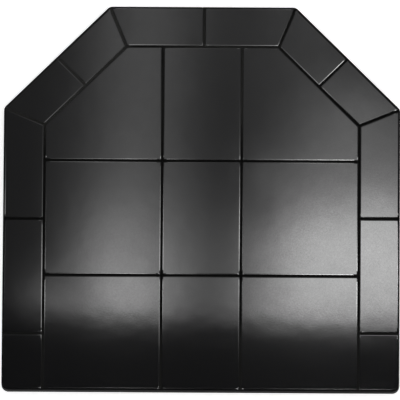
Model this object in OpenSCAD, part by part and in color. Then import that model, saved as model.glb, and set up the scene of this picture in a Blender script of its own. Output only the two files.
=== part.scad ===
// Hearth pad for a corner: a tiled, insulated floor protector to stand a stove on.
// The front edge lies towards -Y, the back edge towards +Y and the underside at Z = 0.

/* [Pad] */
// Width of the pad from side to side
pad_w = 1016; // [960:1:1080]
// Leg of each cut back corner, measured along the side and along the back
corner_cut = 269; // [230:1:300]

/* [Tiles] */
// Side of a whole square tile
tile = 295; // [285:0.5:305]
// Width of the strips that the border tiles are cut from
strip_w = 97.4; // [85:0.2:105]
// Length of the strip at the front end of the right side, half a tile less the saw cut
front_strip_l = 145; // [120:1:160]
// How much shorter the strip at the front end of the left side is
left_step = 4.5; // [-10:0.5:10]
// How far the joint in the back border lies to the right of the middle
back_joint_x = 4; // [-20:1:20]
// Thickness of a tile
tile_t = 8; // [6:0.5:12]
// Width and depth of the ground edge round the face of a tile
arris = 1.2; // [0.4:0.1:2]

/* [Joints] */
// Width of the joints between tiles
joint = 6.5; // [3:0.5:9]
// Gap between the outer tiles and the edge band
edge_gap = 1.8; // [0.8:0.1:3]
// Depth of the grout below the faces of the tiles
grout_recess = 1.5; // [0.5:0.1:2.5]

/* [Layers] */
// Thickness of the mortar bed under the tiles
mortar_t = 2; // [1:0.2:4]
// Thickness of the cement board
cement_t = 6.4; // [5:0.1:13]
// Thickness of the insulation board
insulation_t = 7; // [5:0.5:14]
// Thickness of the galvanised bottom sheet
sheet_t = 0.8; // [0.6:0.1:1.2]
// Width of the seam between the two insulation boards
panel_seam = 0.4; // [0.2:0.1:2]
// Gap between the boards and what stands beside them
board_clear = 0.4; // [0.2:0.1:2]

/* [Edge band] */
// Thickness of the steel that the band is folded from
band_t = 1.2; // [0.8:0.1:1.6]
// Depth of the folded hem along the top of the band
hem_d = 8; // [5:0.5:12]
// Width of the flange that turns in under the pad
flange_w = 22; // [16:0.5:30]
// Width of the eased edges along the top and the bottom of the band
band_ease = 0.6; // [0.3:0.1:0.7]
// Outer radius of the bends at the corners of the pad
bend_r = 18; // [10:0.5:24]
// Width of the mitre slots in the flange at the bends
mitre_slot = 2; // [1:0.1:4]
// Steel left between a mitre slot and the outside of the bend
slot_stop = 5; // [4:0.5:10]
// Width of the butt seam where the ends of the band meet
seam_w = 0.5; // [0.3:0.1:1.5]
// Length of the splice plate behind the butt seam
splice_l = 70; // [40:1:120]
// Thickness of the splice plate
splice_t = 1; // [0.8:0.1:1.5]

/* [Fasteners] */
// Diameter of the rivet shanks
rivet_d = 3.2; // [2.4:0.1:4.8]
// Diameter of the flush rivet heads
rivet_head_d = 6; // [5.2:0.1:8]
// Depth of the flush rivet heads
rivet_head_h = 0.9; // [0.5:0.1:1.1]
// Diameter of the upset end of the rivets above the sheet
rivet_tail_d = 4.8; // [4.8:0.1:7]
// Height of the upset end of the rivets above the sheet
rivet_tail_h = 2.2; // [1.6:0.1:4]
// Height of the taper on the upset end of the rivets
rivet_taper_h = 1.2; // [0.5:0.1:1.4]
// Diameter of the hole that the pulled stem leaves in a rivet
rivet_stem_d = 1.6; // [1:0.1:2]
// Distance of the rivets from the outside of the band
rivet_inset = 12; // [9:0.5:13]
// Distance from the first and last rivet of an edge to the corner
rivet_end = 40; // [30:1:60]
// Widest spacing of the rivets along an edge
rivet_pitch = 160; // [100:5:200]
// Diameter of the screws
screw_d = 4; // [3:0.1:5]
// Diameter of the wafer heads of the screws
screw_head_d = 10; // [8:0.5:12]
// Thickness of the wafer heads of the screws
screw_head_h = 0.9; // [0.6:0.1:1]
// Depth to which the screws bite into the cement board
screw_bite = 4.5; // [3:0.1:4.8]
// Length of the arms of the cross recess in the screw heads
recess_l = 3; // [2:0.1:5]
// Width of the arms of the cross recess
recess_w = 0.9; // [0.5:0.1:1.4]
// Depth of the cross recess
recess_h = 1.2; // [0.6:0.1:1.5]
// Length of the taper at the tip of the screws
screw_tip_l = 3.5; // [2:0.1:4]
// Diameter at the very tip of the screws
screw_tip_d = 0.6; // [0.3:0.1:1.5]
// Least distance of the screws from the cut edges
screw_edge = 40; // [25:1:80]
// Spacing of the screw rows from front to back and from side to side
screw_pitch = 260; // [200:5:280]
// Columns and rows of screws
screw_rows = 4; // [2:2:4]
// Play all round the shanks in their holes
hole_play = 0.1; // [0.05:0.05:0.3]

/* [Hidden] */
$fn = 64;

// Overlap given to cutting solids so that they pass clean through
over = 1;
// Flats in a quarter turn of the band and of the boards inside it
corner_steps = 8;
// Flats ground on the front corner of a border tile, to clear the bend of the band
tile_corner_steps = 2;
// Number of tile rows
rows = 3;

// Insets from the outer face of the band to each line of the tiling
hem_w = 2 * band_t;
strip_out = hem_w + edge_gap;
strip_in = strip_out + strip_w;
field_in = strip_in + joint;
board_in = band_t + splice_t + board_clear;
sheet_in = band_t + board_clear;

// Depth of the pad: the tile rows, the back border and the edges
pad_d = 2 * strip_out + rows * (tile + joint) + strip_w;

// Heights of the layers
sheet_z = band_t;
insulation_z = sheet_z + sheet_t;
cement_z = insulation_z + insulation_t;
mortar_z = cement_z + cement_t;
tile_z = mortar_z + mortar_t;
pad_h = tile_z + tile_t;

// Width of the middle column of tiles
centre_w = pad_w - 2 * (field_in + tile + joint);
// Angle that the cut edges make with the sides and the back
cut_angle = 45;
// How far a corner of the cuts slides along its edge for each millimetre that the outline is inset
slide = tan(cut_angle / 2);
// Half a mitre joint, measured along the edge of a strip
half_mitre = joint / 2 / cos(cut_angle / 2);

// Corners at the right of the outline, inset by t
function front_corner(t) = [pad_w / 2 - t, -pad_d / 2 + t];
function shoulder(t) = [pad_w / 2 - t, pad_d / 2 - corner_cut - t * slide];
function back_corner(t) = [pad_w / 2 - corner_cut - t * slide, pad_d / 2 - t];

// The same shape on the other side of the pad, still counter-clockwise
function flip(shape) = [for (i = [len(shape) - 1:-1:0]) [-shape[i].x, shape[i].y]];
function right_half(t) = [front_corner(t), shoulder(t), back_corner(t)];
function outline(t) = concat(right_half(t), flip(right_half(t)));

// Angle of the line from a to b
function heading(a, b) = atan2(b.y - a.y, b.x - a.x);
// Length of straight edge that a bend of radius r takes up at a corner of turn degrees
function tangent_l(r, turn) = r * tan(turn / 2);
// Degrees that the outline of shape s turns at its corner i
function turn_at(s, i) = let (
        n = len(s),
        before = heading(s[(i + n - 1) % n], s[i]),
        after = heading(s[i], s[(i + 1) % n])
    ) (after - before + 360) % 360;

// Points that round the corner p of turn degrees, reached along the heading before
function round_corner(p, before, turn, r, steps) = let (
        start = p - tangent_l(r, turn) * [cos(before), sin(before)],
        centre = start + r * [-sin(before), cos(before)]
    ) [for (k = [0:steps]) let (a = before - 90 + turn * k / steps) centre + r * [cos(a), sin(a)]];

// The outline inset by t, with its corners rounded to follow the bends of the band
function rounded_outline(t) = let (s = outline(t), n = len(s), r = bend_r - t) r <= 0 ? s : [
    for (i = [0:n - 1])
        let (turn = turn_at(s, i), before = heading(s[(i + n - 1) % n], s[i]))
            each round_corner(s[i], before, turn, r, max(1, round(corner_steps * turn / 90)))
];

// Lines between the tile columns and rows
column_x = [-pad_w / 2 + field_in, -centre_w / 2, centre_w / 2 + joint];
column_w = [tile, centre_w, tile];
function row_y(i) = -pad_d / 2 + strip_out + i * (tile + joint);

// Outline of the field tile in a column and row
function block(x, y, w, l) = [[x, y], [x + w, y], [x + w, y + l], [x, y + l]];
function field_shape(column, row) = block(column_x[column], row_y(row), column_w[column], tile);

// The tile at the back right, with its outer corner cut off along the border
back_right_shape = [
    [column_x[2], row_y(2)],
    [column_x[2] + tile, row_y(2)],
    shoulder(field_in),
    back_corner(field_in),
    [column_x[2], row_y(2) + tile]
];

// Strips up the right side, the front one of length l: about half a tile, a whole tile and
// what is left up to the mitre
side_x = pad_w / 2 - strip_in;
function side_front(l) = concat(
    [[side_x, row_y(0)]],
    round_corner(front_corner(strip_out), 0, 90, bend_r - strip_out, tile_corner_steps),
    [[side_x + strip_w, row_y(0) + l], [side_x, row_y(0) + l]]
);
function side_middle(l) = block(side_x, row_y(0) + l + joint, strip_w, tile);
function side_back(l) = let (y = row_y(1) + l + joint) [
    [side_x, y],
    [side_x + strip_w, y],
    shoulder(strip_out) - [0, half_mitre],
    shoulder(strip_in) - [0, half_mitre]
];

// Strips along the cut edge at the right, on each side of a joint in its middle
function along_cut(t, s) = shoulder(t) + s * [-cos(cut_angle), sin(cut_angle)];
function cut_l(t) = norm(back_corner(t) - shoulder(t));
diagonal_front_shape = [
    along_cut(strip_out, half_mitre),
    along_cut(strip_out, cut_l(strip_out) / 2 - joint / 2),
    along_cut(strip_in, cut_l(strip_in) / 2 - joint / 2),
    along_cut(strip_in, half_mitre)
];
diagonal_back_shape = [
    along_cut(strip_out, cut_l(strip_out) / 2 + joint / 2),
    along_cut(strip_out, cut_l(strip_out) - half_mitre),
    along_cut(strip_in, cut_l(strip_in) - half_mitre),
    along_cut(strip_in, cut_l(strip_in) / 2 + joint / 2)
];

// Strip along the back from the right mitre to a joint at x
function back_strip(x) = [
    [x + joint / 2, pad_d / 2 - strip_in],
    back_corner(strip_in) - [half_mitre, 0],
    back_corner(strip_out) - [half_mitre, 0],
    [x + joint / 2, pad_d / 2 - strip_out]
];

// Every tile by name, with its outline
tiles = [
    ["field_tile_front_left", field_shape(0, 0)],
    ["field_tile_front_centre", field_shape(1, 0)],
    ["field_tile_front_right", field_shape(2, 0)],
    ["field_tile_middle_left", field_shape(0, 1)],
    ["field_tile_middle_centre", field_shape(1, 1)],
    ["field_tile_middle_right", field_shape(2, 1)],
    ["field_tile_back_left", flip(back_right_shape)],
    ["field_tile_back_centre", field_shape(1, 2)],
    ["field_tile_back_right", back_right_shape],
    ["border_tile_left_front", flip(side_front(front_strip_l - left_step))],
    ["border_tile_left_middle", flip(side_middle(front_strip_l - left_step))],
    ["border_tile_left_back", flip(side_back(front_strip_l - left_step))],
    ["border_tile_left_diagonal_front", flip(diagonal_front_shape)],
    ["border_tile_left_diagonal_back", flip(diagonal_back_shape)],
    ["border_tile_back_left", flip(back_strip(-back_joint_x))],
    ["border_tile_back_right", back_strip(back_joint_x)],
    ["border_tile_right_diagonal_back", diagonal_back_shape],
    ["border_tile_right_diagonal_front", diagonal_front_shape],
    ["border_tile_right_back", side_back(front_strip_l)],
    ["border_tile_right_middle", side_middle(front_strip_l)],
    ["border_tile_right_front", side_front(front_strip_l)]
];

// Places of the rivets along an edge of length l, an even count that clears the middle
function rivet_places(l) = let (
        span = l - 2 * rivet_end,
        n = 2 * ceil(span / rivet_pitch / 2)
    ) [for (k = [0:n - 1]) rivet_end + span * k / (n - 1)];

// Places of the screws: a grid, less the places that the cut corners take away
function from_cut(p) = ((pad_w + pad_d) / 2 - corner_cut - abs(p.x) - p.y) * cos(cut_angle);
screw_places = [
    for (i = [0:screw_rows - 1], j = [0:screw_rows - 1])
        let (p = screw_pitch * [i - (screw_rows - 1) / 2, j - (screw_rows - 1) / 2])
            if (from_cut(p) > screw_edge) p
];

// Carries its children to the start of edge i of the outline, with X along the edge
module on_edge(i) {
    s = outline(0);
    translate(s[i])
        rotate(heading(s[i], s[(i + 1) % len(s)]))
            children();
}

// Carries its children to every rivet
module on_rivets() {
    s = outline(0);
    for (i = [0:len(s) - 1])
        on_edge(i)
            for (x = rivet_places(norm(s[(i + 1) % len(s)] - s[i])))
                translate([x, rivet_inset, 0])
                    children();
}

// Carries its children to every screw
module on_screws() {
    for (p = screw_places)
        translate(p)
            children();
}

// A flat layer with the outline of the pad, inset by t
module layer(t, z, h) {
    translate([0, 0, z])
        linear_extrude(h)
            polygon(rounded_outline(t));
}

// Cuts the edges of a shape down to a narrow slope, on the side of z where up points (1 or -1)
module ease_edges(shape, z, up, width) {
    n = len(shape);
    reach = width + over;
    for (i = [0:n - 1])
        let (a = shape[i], b = shape[(i + 1) % n])
            translate([a.x, a.y, z])
                rotate(heading(a, b))
                    translate([-over, 0, 0])
                        rotate([90, 0, 90])
                            linear_extrude(norm(b - a) + 2 * over)
                                polygon([[-over, up * over], [reach, up * over], [-over, -up * reach]]);
}

// Slot in the flange along the mitre of corner i, short of the outside of the bend
module mitre_cut(i) {
    turn = turn_at(outline(0), i);
    start = bend_r / cos(turn / 2) - bend_r + slot_stop;
    end = (flange_w + over) / cos(turn / 2) + mitre_slot;
    on_edge(i)
        rotate(90 - turn / 2)
            translate([start, -mitre_slot / 2, -over])
                cube([end - start, mitre_slot, band_t + 2 * over]);
}

// Carries its children to the butt seam, in the middle of the back edge
module on_seam() {
    s = outline(0);
    back = 2;
    on_edge(back)
        translate([norm(s[back + 1] - s[back]) / 2, 0, 0])
            children();
}

// Flush head of a rivet, grown by play to make its countersink
module rivet_head(play) {
    cylinder(h = rivet_head_h, d1 = rivet_head_d + 2 * play, d2 = rivet_d + 2 * play);
}

// Folded steel band, hemmed along the top and bent round the pad, its ends butted at the back
module edge_band() {
    color("#141414")
        difference() {
            layer(0, 0, pad_h);
            layer(flange_w, -over, band_t + 2 * over);
            layer(band_t, band_t, pad_h - hem_d - band_t);
            layer(hem_w, band_t + over, pad_h);
            ease_edges(rounded_outline(0), pad_h, 1, band_ease);
            ease_edges(rounded_outline(0), 0, -1, band_ease);
            for (i = [0:len(outline(0)) - 1])
                mitre_cut(i);
            on_seam()
                translate([-seam_w / 2, -over, -over])
                    cube([seam_w, flange_w + 2 * over, pad_h + 2 * over]);
            on_rivets() {
                translate([0, 0, -over])
                    cylinder(h = band_t + 2 * over, d = rivet_d + 2 * hole_play);
                rivet_head(hole_play);
            }
        }
}

// Steel strap welded behind the butt seam
module splice_plate() {
    z = insulation_z + board_clear;
    color("#8d9092")
        on_seam()
            translate([-splice_l / 2, band_t, z])
                cube([splice_l, splice_t, pad_h - hem_d - board_clear - z]);
}

// Galvanised sheet that lies on the flange and closes the underside
module bottom_sheet() {
    color("#a9adb0")
        difference() {
            layer(sheet_in, sheet_z, sheet_t);
            on_rivets()
                cylinder(h = insulation_z + over, d = rivet_d + 2 * hole_play);
            on_screws()
                cylinder(h = insulation_z + over, d = screw_d + 2 * hole_play);
        }
}

// Countersunk blind rivet: flush head, shank and upset end, with the hole of its pulled stem
module rivet() {
    difference() {
        union() {
            rivet_head(0);
            cylinder(h = insulation_z + rivet_tail_h, d = rivet_d);
            translate([0, 0, insulation_z])
                cylinder(h = rivet_tail_h - rivet_taper_h, d = rivet_tail_d);
            translate([0, 0, insulation_z + rivet_tail_h - rivet_taper_h])
                cylinder(h = rivet_taper_h, d1 = rivet_tail_d, d2 = rivet_d);
        }
        translate([0, 0, -over])
            cylinder(h = over + band_t, d = rivet_stem_d);
    }
}

module flange_rivets() {
    color("#9a9c9e")
        on_rivets()
            rivet();
}

// Wafer-head screw: cross recess, shank and point
module screw() {
    z = sheet_z - screw_head_h;
    shank_l = cement_z + screw_bite - screw_tip_l - z;
    difference() {
        union() {
            translate([0, 0, z])
                cylinder(h = screw_head_h, d = screw_head_d);
            translate([0, 0, z])
                cylinder(h = shank_l, d = screw_d);
            translate([0, 0, z + shank_l])
                cylinder(h = screw_tip_l, d1 = screw_d, d2 = screw_tip_d);
        }
        for (a = [0, 90])
            rotate(a)
                translate([-recess_l / 2, -recess_w / 2, z - over])
                    cube([recess_l, recess_w, recess_h + over]);
    }
}

module board_screws() {
    color("#b4b6b8")
        on_screws()
            screw();
}

// One half of the insulation, at the side given by -1 for left or 1 for right
module insulation_half(side) {
    color("#b9ab8d")
        difference() {
            layer(board_in, insulation_z, insulation_t);
            translate([side > 0 ? -pad_w : -panel_seam / 2, -pad_d, 0])
                cube([pad_w + panel_seam / 2, 2 * pad_d, pad_h]);
            on_rivets()
                translate([0, 0, insulation_z - over])
                    cylinder(h = over + rivet_tail_h + board_clear, d = rivet_tail_d + 2 * board_clear);
            on_screws()
                cylinder(h = pad_h, d = screw_d + 2 * hole_play);
        }
}

module insulation_board_left() insulation_half(-1);

module insulation_board_right() insulation_half(1);

// Cement board, drilled for the screws from below
module cement_board() {
    color("#8f8d86")
        difference() {
            layer(board_in, cement_z, cement_t);
            on_screws()
                translate([0, 0, cement_z - over])
                    cylinder(h = over + screw_bite + hole_play, d = screw_d + 2 * hole_play);
        }
}

// Bed of mortar that the tiles are set in
module mortar_bed() {
    color("#6e6c68")
        layer(board_in, mortar_z, mortar_t);
}

// Grout that fills every joint and the gap to the band, sunk below the tiles
module grout() {
    color("#1b1b1b")
        translate([0, 0, tile_z])
            linear_extrude(tile_t - grout_recess)
                difference() {
                    polygon(rounded_outline(hem_w));
                    for (t = tiles)
                        polygon(t[1]);
                }
}

// Glazed tile of the given outline, its top edges ground to a narrow slope
module glazed_tile(shape) {
    color("#2b2c2e")
        difference() {
            translate([0, 0, tile_z])
                linear_extrude(tile_t)
                    polygon(shape);
            ease_edges(shape, pad_h, 1, arris);
        }
}

edge_band();
splice_plate();
bottom_sheet();
flange_rivets();
board_screws();
insulation_board_left();
insulation_board_right();
cement_board();
mortar_bed();
grout();
for (t = tiles)
    glazed_tile(t[1]);
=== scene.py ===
import math

import bmesh
import bpy
from mathutils import Matrix, Vector, noise


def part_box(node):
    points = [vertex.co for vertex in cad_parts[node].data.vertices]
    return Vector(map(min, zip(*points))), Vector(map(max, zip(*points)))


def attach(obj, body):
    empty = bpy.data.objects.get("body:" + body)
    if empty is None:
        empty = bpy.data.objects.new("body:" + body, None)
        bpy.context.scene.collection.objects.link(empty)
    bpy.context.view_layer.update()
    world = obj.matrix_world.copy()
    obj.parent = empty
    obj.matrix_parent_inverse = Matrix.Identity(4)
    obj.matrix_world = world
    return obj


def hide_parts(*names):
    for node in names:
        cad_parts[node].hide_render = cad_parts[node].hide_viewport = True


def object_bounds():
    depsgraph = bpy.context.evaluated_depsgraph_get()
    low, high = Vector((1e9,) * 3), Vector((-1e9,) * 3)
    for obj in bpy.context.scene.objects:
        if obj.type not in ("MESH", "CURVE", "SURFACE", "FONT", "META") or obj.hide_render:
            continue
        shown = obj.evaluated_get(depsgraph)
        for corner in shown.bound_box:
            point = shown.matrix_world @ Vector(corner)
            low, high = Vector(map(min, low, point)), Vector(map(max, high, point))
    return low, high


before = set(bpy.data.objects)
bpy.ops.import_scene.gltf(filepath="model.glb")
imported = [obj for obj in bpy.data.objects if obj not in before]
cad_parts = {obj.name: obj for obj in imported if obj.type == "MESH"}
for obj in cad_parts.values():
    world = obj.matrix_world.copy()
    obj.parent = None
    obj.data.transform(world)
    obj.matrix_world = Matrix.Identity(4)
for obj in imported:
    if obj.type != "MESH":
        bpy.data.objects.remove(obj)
cad_low, cad_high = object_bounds()

# Camera: a catalogue shot through a very long lens, from far off and almost overhead, leaning
# a little towards the pad's front. The far edge looks hardly narrower than the near one.
view_distance = 45.0
view_lean = math.radians(13.6)
view_turn = math.radians(1.5)
view_roll = math.radians(-1.13)
looked_at = Vector((-0.0040, -0.0044, 0.0254))

camera = bpy.data.objects.new("camera", bpy.data.cameras.new("camera"))
camera.data.sensor_width = 36.0
camera.data.lens = 1582.0
camera.data.clip_start = 1.0
camera.data.clip_end = 200.0
camera.matrix_world = (
    Matrix.Translation(looked_at)
    @ Matrix.Rotation(view_turn, 4, "Z")
    @ Matrix.Rotation(view_lean, 4, "X")
    @ Matrix.Rotation(view_roll, 4, "Z")
    @ Matrix.Translation((0.0, 0.0, view_distance))
)
bpy.context.scene.collection.objects.link(camera)
bpy.context.scene.camera = camera
bpy.context.scene.view_settings.view_transform = "Standard"

# Edge band: one strip of mild steel, hemmed along its top, folded in under the pad and bent
# round the six corners, with a mitre slot in its flange at each bend. Its ends are butted in
# the middle of the back. It is powder coated black after folding.
band_top = cad_high.z
rim_reach = 0.0008
rim_angle = math.radians(20)
band_soft_edge = 0.00025
weld = 1e-6
flat_within = math.radians(0.5)
smooth_below = math.radians(35)
fresh_powder = (0.005, 0.005, 0.0055, 1.0)
scuffed_powder = (0.013, 0.013, 0.0135, 1.0)


class Strength:
    """A socket of a recipe, so that the maths of a shader reads as a sum."""

    def __init__(self, recipe, socket):
        self.recipe = recipe
        self.socket = socket

    def joined(self, operation, first, second):
        return self.recipe.node("Math", {"operation": operation}, {0: first, 1: second})

    def __neg__(self):
        return 0.0 - self

    def __add__(self, other):
        return self.joined("ADD", self, other)

    def __sub__(self, other):
        return self.joined("SUBTRACT", self, other)

    def __rsub__(self, other):
        return self.joined("SUBTRACT", other, self)

    def __mul__(self, other):
        return self.joined("MULTIPLY", self, other)

    def __truediv__(self, other):
        return self.joined("DIVIDE", self, other)

    def __rpow__(self, other):
        return self.joined("POWER", other, self)

    __radd__ = __add__
    __rmul__ = __mul__


class Recipe:
    """The nodes that a finish, or the surround of the studio, is mixed from."""

    def __init__(self, tree):
        self.tree = tree

    def node(self, kind, settings, inputs, output=0):
        made = self.tree.nodes.new("ShaderNode" + kind)
        for name, value in settings.items():
            setattr(made, name, value)
        for socket, value in inputs.items():
            self.plug(made.inputs[socket], value)
        return Strength(self, made.outputs[output])

    def plug(self, socket, value):
        if isinstance(value, Strength):
            self.tree.links.new(value.socket, socket)
        else:
            socket.default_value = value

    def place(self):
        return self.node("TexCoord", {}, {}, "Object")

    def stretched(self, scale, turn=0.0):
        inputs = {"Vector": self.place(), "Scale": scale, "Rotation": (0.0, 0.0, turn)}
        return self.node("Mapping", {}, inputs)

    def along(self, axis, place=None):
        """How far a place lies along an axis."""
        return self.node("SeparateXYZ", {}, {"Vector": place or self.place()}, axis)

    def clouds(self, scale, detail, place=None):
        inputs = {"Vector": place or self.place(), "Scale": scale, "Detail": detail}
        return self.node("TexNoise", {}, inputs, "Fac")

    def between(self, low, high, share):
        """A number that runs from low to high as share runs from 0 to 1."""
        return share * (high - low) + low

    def eased(self, value, start, end):
        """0 before start, 1 after end and a smooth rise between them."""
        settings = {"interpolation_type": "SMOOTHSTEP"}
        return self.node("MapRange", settings, {"Value": value, 1: start, 2: end})

    def blend(self, first, second, share):
        inputs = {0: share, 6: first, 7: second}
        return self.node("Mix", {"data_type": "RGBA"}, inputs, 2)


class Finish(Recipe):
    """A material of the pad or of the studio."""

    def __init__(self, name):
        self.material = bpy.data.materials.new(name)
        self.material.use_nodes = True
        super().__init__(self.material.node_tree)
        self.shader = self.tree.nodes["Principled BSDF"]

    def surface(self, **values):
        for name, value in values.items():
            self.plug(self.shader.inputs[name.replace("_", " ")], value)

    def raised(self, height, depth):
        """A bump of that depth in metres."""
        inputs = {"Height": height, "Strength": 1.0, "Distance": depth}
        self.plug(self.shader.inputs["Normal"], self.node("Bump", {}, inputs))


def worked_copy(node, whole_faces=True):
    """A bmesh of a CAD node's mesh, its loose triangles joined, into whole faces if wished."""
    shape = bmesh.new()
    shape.from_mesh(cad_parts[node].data)
    bmesh.ops.remove_doubles(shape, verts=shape.verts, dist=weld)
    if whole_faces:
        bmesh.ops.dissolve_limit(
            shape, angle_limit=flat_within, verts=shape.verts, edges=shape.edges
        )
    return shape


def fitted(shape, name, finish, node):
    """Turns a bmesh into the piece of the pad that stands for a CAD node."""
    mesh = bpy.data.meshes.new(name)
    shape.to_mesh(mesh)
    shape.free()
    mesh.shade_smooth()
    mesh.set_sharp_from_angle(angle=smooth_below)
    mesh.materials.append(finish.material)
    piece = bpy.data.objects.new(name, mesh)
    bpy.context.scene.collection.objects.link(piece)
    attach(piece, "root")
    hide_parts(node)
    return piece


def painted(node, finish):
    """Gives a CAD node whose shape is right its finish."""
    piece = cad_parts[node]
    piece.data.materials.clear()
    piece.data.materials.append(finish.material)


powder_coat = Finish("black_powder_coat")
peel = powder_coat.clouds(520.0, 1.0)
scuffs = powder_coat.eased(powder_coat.clouds(38.0, 5.0), 0.56, 0.74)
powder_coat.surface(
    Base_Color=powder_coat.blend(fresh_powder, scuffed_powder, scuffs),
    Roughness=powder_coat.between(0.68, 0.82, scuffs),
    Specular_IOR_Level=0.08,
)
powder_coat.raised(peel, 0.00006)

band = worked_copy("edge_band")
rim = [
    edge for edge in band.edges
    if min(vert.co.z for vert in edge.verts) > band_top - rim_reach
    and edge.is_manifold and edge.calc_face_angle(0.0) > rim_angle
]
bmesh.ops.bevel(
    band, geom=rim, affect="EDGES", offset=band_soft_edge, offset_type="OFFSET",
    segments=3, profile=0.5, material=-1, clamp_overlap=True,
)
fitted(band, "black_edge_band", powder_coat, "edge_band")

# Splice plate: a short strap of plain steel, spot welded inside the band behind its butt
# seam. It is bare, with the blue-grey skin that hot rolling leaves.
blue_scale = (0.11, 0.115, 0.125, 1.0)
grey_scale = (0.24, 0.235, 0.23, 1.0)

mill_steel = Finish("plain_mill_steel")
streaks = mill_steel.clouds(60.0, 4.0, mill_steel.stretched((1.0, 14.0, 14.0)))
mill_steel.surface(
    Base_Color=mill_steel.blend(blue_scale, grey_scale, streaks),
    Metallic=1.0,
    Roughness=mill_steel.between(0.42, 0.62, streaks),
)
mill_steel.raised(streaks, 0.00003)
painted("splice_plate", mill_steel)

# Bottom sheet: galvanised steel that closes the underside. The zinc has frozen into flat
# crystals about 12 mm across, each of its own brightness.
crystals_per_metre = 82.0
dull_zinc = (0.40, 0.41, 0.42, 1.0)
bright_zinc = (0.66, 0.67, 0.68, 1.0)

zinc_sheet = Finish("galvanised_sheet")
spangle = zinc_sheet.node(
    "TexVoronoi", {"voronoi_dimensions": "2D"},
    {"Vector": zinc_sheet.place(), "Scale": crystals_per_metre, "Randomness": 1.0}, "Color",
)
crystal = zinc_sheet.node("SeparateColor", {}, {"Color": spangle}, "Red")
tarnish = zinc_sheet.clouds(9.0, 4.0)
zinc_sheet.surface(
    Base_Color=zinc_sheet.blend(dull_zinc, bright_zinc, crystal * 0.65 + tarnish * 0.35),
    Metallic=1.0,
    Roughness=zinc_sheet.between(0.30, 0.52, crystal * 0.6 + tarnish * 0.4),
)
zinc_sheet.raised(zinc_sheet.clouds(240.0, 3.0), 0.00004)
painted("bottom_sheet", zinc_sheet)

# Rivets: countersunk steel blind rivets, set flush through the flange into the sheet. They
# are zinc plated and a little worn.
worn_rivet = (0.38, 0.38, 0.37, 1.0)
bright_rivet = (0.60, 0.60, 0.59, 1.0)

rivet_steel = Finish("zinc_plated_rivet")
rivet_wear = rivet_steel.clouds(700.0, 3.0)
rivet_steel.surface(
    Base_Color=rivet_steel.blend(worn_rivet, bright_rivet, rivet_wear),
    Metallic=1.0,
    Roughness=rivet_steel.between(0.28, 0.50, rivet_wear),
)
rivet_steel.raised(rivet_wear, 0.00002)
fitted(worked_copy("flange_rivets"), "flush_rivets", rivet_steel, "flange_rivets")

# Screws: zinc-plated wafer heads with a cross recess, driven up through the sheet and the
# insulation into the cement board, so that the pad is one stiff panel.
worn_screw = (0.46, 0.46, 0.45, 1.0)
bright_screw = (0.72, 0.71, 0.69, 1.0)

screw_zinc = Finish("zinc_plated_screw")
screw_wear = screw_zinc.clouds(520.0, 4.0)
screw_zinc.surface(
    Base_Color=screw_zinc.blend(worn_screw, bright_screw, screw_wear),
    Metallic=1.0,
    Roughness=screw_zinc.between(0.20, 0.38, screw_wear),
)
screw_zinc.raised(screw_wear, 0.00002)
fitted(worked_copy("board_screws"), "wafer_head_screws", screw_zinc, "board_screws")

# Insulation: two stiff boards of pressed mineral fibre, laid side by side on the sheet. Their
# faces are matted fibres, with a few darker knots.
shaded_fibre = (0.44, 0.38, 0.27, 1.0)
pale_fibre = (0.60, 0.53, 0.40, 1.0)
knot_brown = (0.27, 0.23, 0.16, 1.0)

fibre_board = Finish("pressed_fibre_board")
fibres = fibre_board.clouds(900.0, 6.0, fibre_board.stretched((1.0, 0.22, 1.0), 0.5))
knots = fibre_board.eased(fibre_board.clouds(130.0, 3.0), 0.60, 0.72)
matted = fibre_board.blend(shaded_fibre, pale_fibre, fibres)
fibre_board.surface(
    Base_Color=fibre_board.blend(matted, knot_brown, knots * 0.7),
    Roughness=fibre_board.between(0.82, 0.96, fibres),
)
fibre_board.raised(fibres + knots * 0.4, 0.0005)
for side in ("left", "right"):
    painted("insulation_board_" + side, fibre_board)

# Cement board: a sanded cement sheet with a woven glass mesh just under its skin, and specks
# of the light aggregate that fills it.
mesh_scale = 95.0
dark_cement = (0.24, 0.235, 0.22, 1.0)
pale_cement = (0.38, 0.37, 0.35, 1.0)
aggregate = (0.52, 0.51, 0.49, 1.0)

cement_skin = Finish("mesh_faced_cement")
mesh_across = cement_skin.node(
    "TexWave", {"bands_direction": "X"}, {"Vector": cement_skin.place(), "Scale": mesh_scale}
)
mesh_along = cement_skin.node(
    "TexWave", {"bands_direction": "Y"}, {"Vector": cement_skin.place(), "Scale": mesh_scale}
)
weave = cement_skin.eased(mesh_across + mesh_along, 1.55, 1.95)
specks = cement_skin.eased(cement_skin.clouds(420.0, 2.0), 0.60, 0.66)
sanded = cement_skin.blend(dark_cement, pale_cement, cement_skin.clouds(26.0, 5.0))
cement_skin.surface(
    Base_Color=cement_skin.blend(sanded, aggregate, specks * 0.6 + weave * 0.25),
    Roughness=cement_skin.between(0.80, 0.94, specks),
)
cement_skin.raised(weave * 0.5 + specks, 0.0002)
painted("cement_board", cement_skin)

# Mortar: the thin bed that the tiles are pressed into, combed with a notched trowel. It is
# grey cement and fine sand.
dark_mortar = (0.15, 0.148, 0.14, 1.0)
pale_mortar = (0.24, 0.235, 0.225, 1.0)

thin_set = Finish("thin_set_mortar")
combed = thin_set.node(
    "TexWave", {"bands_direction": "DIAGONAL"},
    {"Vector": thin_set.place(), "Scale": 30.0, "Distortion": 1.2, "Detail": 2.0},
)
sand = thin_set.clouds(900.0, 3.0)
thin_set.surface(
    Base_Color=thin_set.blend(dark_mortar, pale_mortar, sand),
    Roughness=thin_set.between(0.84, 0.96, sand),
)
thin_set.raised(combed * 0.6 + sand * 0.4, 0.0004)
painted("mortar_bed", thin_set)

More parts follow.
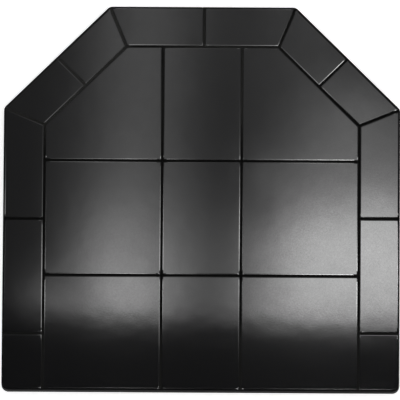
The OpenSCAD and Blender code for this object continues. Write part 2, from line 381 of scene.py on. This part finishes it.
# Grout: charcoal sanded grout, pushed into every joint and tooled to a shallow hollow, a little
# below the faces of the tiles. Towards the back, most beside the left diagonal, and a little at
# the front, a lighter grey is painted into it: painted light that lifts the shade in those
# recessed joints.
hollow_width = 0.0004
hollow_depth = 0.0004
same_height = 1e-5
deep_charcoal = (0.002, 0.002, 0.002, 1.0)
worn_charcoal = (0.006, 0.006, 0.0055, 1.0)
# The lighter grey of the painted light in the shaded joints.
painted_light_grey = (0.060, 0.060, 0.057, 1.0)


def lobe(offset, width):
    """1 where offset is 0, fading softly over width to both sides."""
    far = offset / width
    return math.e ** -(far * far)


charcoal_grout = Finish("charcoal_grout")
grit = charcoal_grout.clouds(1500.0, 3.0)
grout_x = charcoal_grout.along("X")
grout_y = charcoal_grout.along("Y")
# Where the grout is painted lighter grey, as painted light over the shade in its joints.
middle_painted_light = lobe(grout_x - 0.06, 0.15) * 0.3
left_painted_light = charcoal_grout.eased(-grout_x, 0.17, 0.21) * 0.45
towards_back = charcoal_grout.eased(grout_y, 0.10, 0.25)
front_painted_light = charcoal_grout.eased(-grout_y, 0.31, 0.37) * 0.14
patchy = charcoal_grout.between(0.6, 1.4, charcoal_grout.clouds(14.0, 3.0))
painted_light = ((middle_painted_light + left_painted_light) * towards_back + front_painted_light) * patchy
gritty = charcoal_grout.blend(deep_charcoal, worn_charcoal, grit)
charcoal_grout.surface(
    Base_Color=charcoal_grout.blend(gritty, painted_light_grey, painted_light),
    Roughness=charcoal_grout.between(0.78, 0.95, grit),
    Specular_IOR_Level=0.1,
)
charcoal_grout.raised(grit, 0.00025)

grout = worked_copy("grout", whole_faces=False)
grout_top = max(vert.co.z for vert in grout.verts)
tops = [face for face in grout.faces if face.calc_center_median().z > grout_top - same_height]
for depth in (hollow_depth, hollow_depth / 3):
    bmesh.ops.inset_region(
        grout, faces=tops, thickness=hollow_width, depth=-depth,
        use_boundary=True, use_even_offset=True,
    )
fitted(grout, "tooled_grout", charcoal_grout, "grout")

# Tiles: pressed stoneware with a black glaze, nine in the field and twelve strips cut from
# the same tile round them, the strips mitred where the border turns. The rim of each falls
# away in a narrow slope, and each lies a hair out of level in its mortar.
tile_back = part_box("field_tile_middle_centre")[0].z
tile_face = cad_high.z
tile_waist = (tile_back + tile_face) / 2
nearly_level = 0.9
arris_round = 0.00025
grid_step = 0.012
ripple_depth = 0.00002
ripple_length = 0.075
glaze_depth = 0.00028
steep_rim = 0.93
deep_glaze = (0.0045, 0.0045, 0.0050, 1.0)
hazy_glaze = (0.0085, 0.0085, 0.0090, 1.0)
clay_showing = (0.030, 0.029, 0.029, 1.0)

# The slope of the rim in rings, from the outside in: the width of each, and how much of the
# full slope it has.
edge_rings = ((0.0001, 1.0), (0.0013, 1.0), (0.0001, 1.0), (0.0003, 0.4), (0.0005, 0.0))


def pressed_tile(node, edge_slope):
    """The tile of a CAD node: its footprint raised, its rim rounded and sloped."""
    steepness = math.tan(math.radians(edge_slope))
    edge_height = sum(width * share * steepness for width, share in edge_rings)
    shape = worked_copy(node)
    upper = [face for face in shape.faces if face.normal.z > -nearly_level]
    bmesh.ops.delete(shape, geom=upper, context="FACES")
    raised = bmesh.ops.extrude_face_region(shape, geom=shape.faces[:], use_keep_orig=True)
    lifted = [part for part in raised["geom"] if isinstance(part, bmesh.types.BMVert)]
    rise = tile_face - edge_height - tile_back
    bmesh.ops.translate(shape, verts=lifted, vec=(0.0, 0.0, rise))
    bmesh.ops.recalc_face_normals(shape, faces=shape.faces)
    edges = [e for e in shape.edges if max(v.co.z for v in e.verts) > tile_back + same_height]
    bmesh.ops.bevel(
        shape, geom=edges, affect="EDGES", offset=arris_round, offset_type="OFFSET",
        segments=3, profile=0.5, material=-1,
    )
    face = max(shape.faces, key=lambda f: (f.normal.z > nearly_level) * f.calc_area())
    for width, share in edge_rings:
        bmesh.ops.inset_region(
            shape, faces=[face], thickness=width, depth=width * share * steepness,
            use_even_offset=True,
        )
    return shape


def settled(shape, crown, lean_across, lean_along):
    """Gives a tile its crown, its ripple and its small lean, without rising above the face."""
    low = Vector([min(v.co[i] for v in shape.verts) for i in range(2)])
    high = Vector([max(v.co[i] for v in shape.verts) for i in range(2)])
    middle = (low + high) / 2
    half = (high - low) / 2
    for axis, normal in enumerate(((1.0, 0.0, 0.0), (0.0, 1.0, 0.0))):
        steps = max(2, round((high[axis] - low[axis]) / grid_step))
        for i in range(1, steps):
            place = [0.0, 0.0, 0.0]
            place[axis] = low[axis] + (high[axis] - low[axis]) * i / steps
            whole = shape.verts[:] + shape.edges[:] + shape.faces[:]
            bmesh.ops.bisect_plane(shape, geom=whole, dist=weld, plane_co=place, plane_no=normal)
    rises = {}
    for vert in shape.verts:
        if vert.co.z < tile_waist:
            continue
        across = (vert.co.x - middle.x) / half.x
        along = (vert.co.y - middle.y) / half.y
        rise = crown * (1.0 - (across * across + along * along) / 2)
        rise += (vert.co.x - middle.x) * lean_across + (vert.co.y - middle.y) * lean_along
        rise += ripple_depth * noise.noise(vert.co / ripple_length)
        rises[vert] = rise
    top = max(rises.values())
    for vert, rise in rises.items():
        vert.co.z += rise - top
    return shape


black_glaze = Finish("black_glaze")
gloss = black_glaze.node("Attribute", {"attribute_name": "gloss"}, {}, "Fac")
thin = black_glaze.node("Attribute", {"attribute_name": "thin"}, {}, "Fac")
haze = black_glaze.clouds(22.0, 4.0)
swell = black_glaze.clouds(17.0, 1.0)
orange_peel = black_glaze.clouds(230.0, 1.0)
speckle = black_glaze.clouds(300.0, 1.0)
pinholes = black_glaze.eased(black_glaze.clouds(1400.0, 1.0), 0.76, 0.80)
clouded = black_glaze.blend(deep_glaze, hazy_glaze, haze)
glassy = black_glaze.between(0.15, 0.65, haze) + black_glaze.between(0.2, 1.0, speckle)
black_glaze.surface(
    Base_Color=black_glaze.blend(clouded, clay_showing, thin * 0.3 + pinholes * 0.2),
    Roughness=black_glaze.between(0.105, 0.07, haze),
    IOR=1.7,
    Coat_Weight=gloss * glassy,
    Coat_Roughness=0.08,
    Coat_IOR=1.5,
)
black_glaze.raised(swell * 0.65 + orange_peel * 0.08 - pinholes * 0.04, glaze_depth)

# Each tile as it was pressed, fired and laid: its lean from side to side and from front to
# back in millimetres per metre, the height of its crown in millimetres (one is dished), the
# slope of its rim in degrees, and how glossy the kiln left it.
laid = {
    "field_tile_front_left": (2.5, -0.6, 0.35, 13.0, 0.85),
    "field_tile_front_centre": (-3.0, -0.6, 0.35, 13.0, 0.60),
    "field_tile_front_right": (-0.5, -1.8, 0.35, 13.0, 0.95),
    "field_tile_middle_left": (-3.0, 0.6, 0.35, 13.0, 0.65),
    "field_tile_middle_centre": (2.5, -0.3, 0.35, 13.0, 0.45),
    "field_tile_middle_right": (-0.4, -2.0, 0.35, 13.0, 0.90),
    "field_tile_back_left": (-0.2, 1.0, 0.35, 13.0, 0.85),
    "field_tile_back_centre": (-0.3, -1.5, 0.35, 13.0, 0.65),
    "field_tile_back_right": (0.5, -1.2, 0.35, 13.0, 0.95),
    "border_tile_left_front": (3.0, 0.5, 0.35, 5.0, 0.30),
    "border_tile_left_middle": (3.0, -1.0, 0.35, 16.5, 0.30),
    "border_tile_left_back": (0.6, 0.8, 0.35, 8.0, 0.15),
    "border_tile_left_diagonal_front": (-0.7, 0.5, 0.35, 5.0, 0.45),
    "border_tile_left_diagonal_back": (-1.5, -0.6, 0.35, 6.0, 1.00),
    "border_tile_back_left": (0.5, 0.9, 0.35, 9.0, 0.65),
    "border_tile_back_right": (-0.6, -0.7, 0.35, 9.0, 0.90),
    "border_tile_right_diagonal_back": (0.7, 0.6, 0.35, 11.0, 1.00),
    "border_tile_right_diagonal_front": (-0.8, -0.5, 0.35, 12.0, 1.10),
    "border_tile_right_back": (0.5, -0.7, 0.35, 13.0, 0.90),
    "border_tile_right_middle": (-0.6, 1.0, -0.6, 13.0, 1.00),
    "border_tile_right_front": (0.7, 6.0, 0.35, 13.0, 0.60),
}
for node, (across, along, crown, edge_slope, shine) in laid.items():
    tile = settled(pressed_tile(node, edge_slope), crown / 1000, across / 1000, along / 1000)
    name = node.replace("field_tile", "glazed_tile").replace("border_tile", "glazed_strip")
    mesh = fitted(tile, name, black_glaze, node).data
    worn = mesh.attributes.new("thin", "FLOAT", "POINT")
    fired = mesh.attributes.new("gloss", "FLOAT", "POINT")
    for vert in mesh.vertices:
        worn.data[vert.index].value = 1.0 if vert.normal.z < steep_rim else 0.0
        fired.data[vert.index].value = shine

# Studio: a pale floor, a white surround, and a large panel overhead. The middle of the panel
# has the soft lights that the faces of the tiles mirror. Further out it has bright strips,
# which only the sloped rims of the tiles turn to the camera.
floor_half = 8.0
floor_drop = -0.0002
floor_glow = 0.68
white = (1.0, 1.0, 1.0, 1.0)
panel_height = 2.0
panel_half = 1.7

# A level tile in the middle of the pad mirrors this point of the panel's plane. The panel is
# centred on it, so each place on a tile mirrors the same place on the panel.
mirror_x = -panel_height * math.sin(view_turn) * math.tan(view_lean)
mirror_y = panel_height * math.cos(view_turn) * math.tan(view_lean)


def stage_sheet(name, half, place, finish):
    """A flat square sheet of the studio, in its place."""
    sheet = bmesh.new()
    bmesh.ops.create_grid(sheet, x_segments=1, y_segments=1, size=half)
    bmesh.ops.translate(sheet, verts=sheet.verts, vec=place)
    mesh = bpy.data.meshes.new(name)
    sheet.to_mesh(mesh)
    sheet.free()
    mesh.materials.append(finish.material)
    made = bpy.data.objects.new(name, mesh)
    bpy.context.scene.collection.objects.link(made)
    return made


def seen_directly(recipe):
    """1 for rays from the camera, a reflection or glass, and 0 for those that carry light."""
    straight = recipe.node("LightPath", {}, {}, "Is Camera Ray")
    mirrored = recipe.node("LightPath", {}, {}, "Is Glossy Ray")
    through = recipe.node("LightPath", {}, {}, "Is Transmission Ray")
    return straight + mirrored + through


floor_paint = Finish("pale_floor")
floor_paint.surface(
    Base_Color=(0.80, 0.80, 0.80, 1.0),
    Roughness=0.9,
    Specular_IOR_Level=0.0,
    Emission_Color=white,
    Emission_Strength=seen_directly(floor_paint) * floor_glow,
)
stage_sheet("floor", floor_half, (0.0, 0.0, floor_drop), floor_paint)


def glow(name):
    """A finish that only gives light, and the socket that sets how strongly it shines."""
    finish = Finish(name)
    finish.tree.nodes.remove(finish.shader)
    output = next(n for n in finish.tree.nodes if n.bl_idname == "ShaderNodeOutputMaterial")
    lamp = finish.tree.nodes.new("ShaderNodeEmission")
    finish.tree.links.new(lamp.outputs[0], output.inputs["Surface"])
    return finish, lamp.inputs["Strength"]


panel_glow, panel_strength = glow("overhead_panel")
across_panel = panel_glow.along("X") - mirror_x
along_panel = panel_glow.along("Y") - mirror_y


def uneven_lobe(offset, before, after):
    """A lobe that fades over one width below offset 0 and over another above it."""
    below = offset.joined("MINIMUM", offset, 0.0)
    above = offset.joined("MAXIMUM", offset, 0.0)
    return lobe(below / before + above / after, 1.0)


def column(middle, left, right, slant=0.0):
    """Light that fades to the left and to the right of a line from front to back."""
    return uneven_lobe(across_panel - middle - along_panel * slant, left, right)


def patch(middle, sides, ends, strength, slant=0.0):
    """A patch of light that fades to its left and right sides, and to its front and back."""
    rows = uneven_lobe(along_panel - middle[1], *ends)
    return column(middle[0], *sides, slant) * rows * strength


def strip(outward, near, far):
    """1 where the way outward lies between near and far, with soft ends."""
    soft = 0.05
    begun = panel_glow.eased(outward, near, near + soft)
    return begun * panel_glow.eased(-outward, -far - soft, -far)


# The soft lights: a lamp at the left and a stronger one at the right, the haze round both and
# towards the back, and small patches and one shade that are mirrored by a single tile.
lit = patch((-0.21, -0.30), (0.10, 0.19), (0.25, 0.24), 2.35, slant=0.07)
lit = lit + column(-0.17, 0.145, 0.135, slant=0.05) * 0.5
lit = lit + patch((0.37, -0.14), (0.17, 0.60), (0.36, 0.13), 3.2, slant=0.20)
lit = lit + column(0.37, 0.19, 0.60, slant=0.20) * panel_glow.eased(-along_panel, -0.42, -0.05)
lit = lit + column(0.31, 0.22, 0.22) * panel_glow.eased(along_panel, 0.10, 0.45) * 0.24
lit = lit + patch((-0.40, -0.295), (0.10, 0.07), (0.05, 0.08), 0.7)
lit = lit + patch((0.47, -0.03), (0.07, 0.07), (0.045, 0.045), 0.6)
lit = lit + patch((0.50, -0.23), (0.08, 0.08), (0.09, 0.09), 0.45)
lit = lit + patch((0.40, 0.24), (0.12, 0.12), (0.09, 0.09), 0.2)
lit = lit + patch((0.165, 0.085), (0.05, 0.08), (0.05, 0.025), 0.3)
lit = lit - patch((0.185, -0.055), (0.045, 0.045), (0.055, 0.055), 0.35)
lit = lit + 0.085

# In front of this edge only the strips shine, so the front of the pad looks dark.
front_edge = panel_glow.eased(along_panel + across_panel * 0.022, -0.362, -0.295)

# The strips in front of the pad and behind it light the rims that face that way.
left_column = column(-0.20, 0.13, 0.13)
right_column = column(0.38, 0.15, 0.17)
near_strip = (left_column * 0.45 + right_column) * strip(-along_panel, 0.71, 0.79) * 14.0
far_strip = (left_column * 0.55 + right_column) * strip(-along_panel, 1.03, 1.12) * 15.0
back_columns = column(0.34, 0.13, 0.17) + column(-0.27, 0.12, 0.12) * 0.6
back_strip = back_columns * strip(along_panel, 1.19, 1.26) * 5.0
rim_lights = near_strip + far_strip + back_strip

# The strips at the sides, three on each, one for each line of joints: which way is outward,
# how far out they begin and end, the middle of their length from front to back, how far they
# fade to the front and to the back, and their strength.
side_strips = (
    (across_panel, 0.86, 0.94, -0.14, 0.20, 0.18, 8.0),
    (across_panel, 1.04, 1.12, -0.05, 0.12, 0.14, 9.5),
    (across_panel, 1.33, 1.41, -0.19, 0.20, 0.10, 15.0),
    (-across_panel, 0.86, 0.94, -0.10, 0.16, 0.14, 5.0),
    (-across_panel, 1.03, 1.12, -0.14, 0.16, 0.16, 8.0),
    (-across_panel, 1.34, 1.40, -0.23, 0.15, 0.09, 8.0),
)
side_edge = panel_glow.eased(along_panel, -0.29, -0.24)
for outward, near, far, middle, front, back, strength in side_strips:
    rows = uneven_lobe(along_panel - middle, front, back) * side_edge
    rim_lights = rim_lights + rows * strip(outward, near, far) * strength

unlit_panel = 0.018
panel_glow.plug(panel_strength, lit * front_edge + rim_lights + unlit_panel)
panel_place = (mirror_x, mirror_y, panel_height)
panel = stage_sheet("overhead_panel", panel_half, panel_place, panel_glow)
panel.visible_camera = False

# The surround looks white near the horizon and grey overhead, and gives an even light.
seen_low = 1.0
seen_high = 0.10
given_light = 0.75

world = bpy.data.worlds.new("surround")
world.use_nodes = True
bpy.context.scene.world = world
surround = Recipe(world.node_tree)
height = surround.along("Z", surround.node("TexCoord", {}, {}, "Generated"))
seen = surround.between(seen_low, seen_high, surround.eased(height, 0.03, 0.34))
background = world.node_tree.nodes["Background"]
background.inputs["Color"].default_value = white
shown = seen_directly(surround)
surround.plug(background.inputs["Strength"], shown * seen + (1.0 - shown) * given_light)
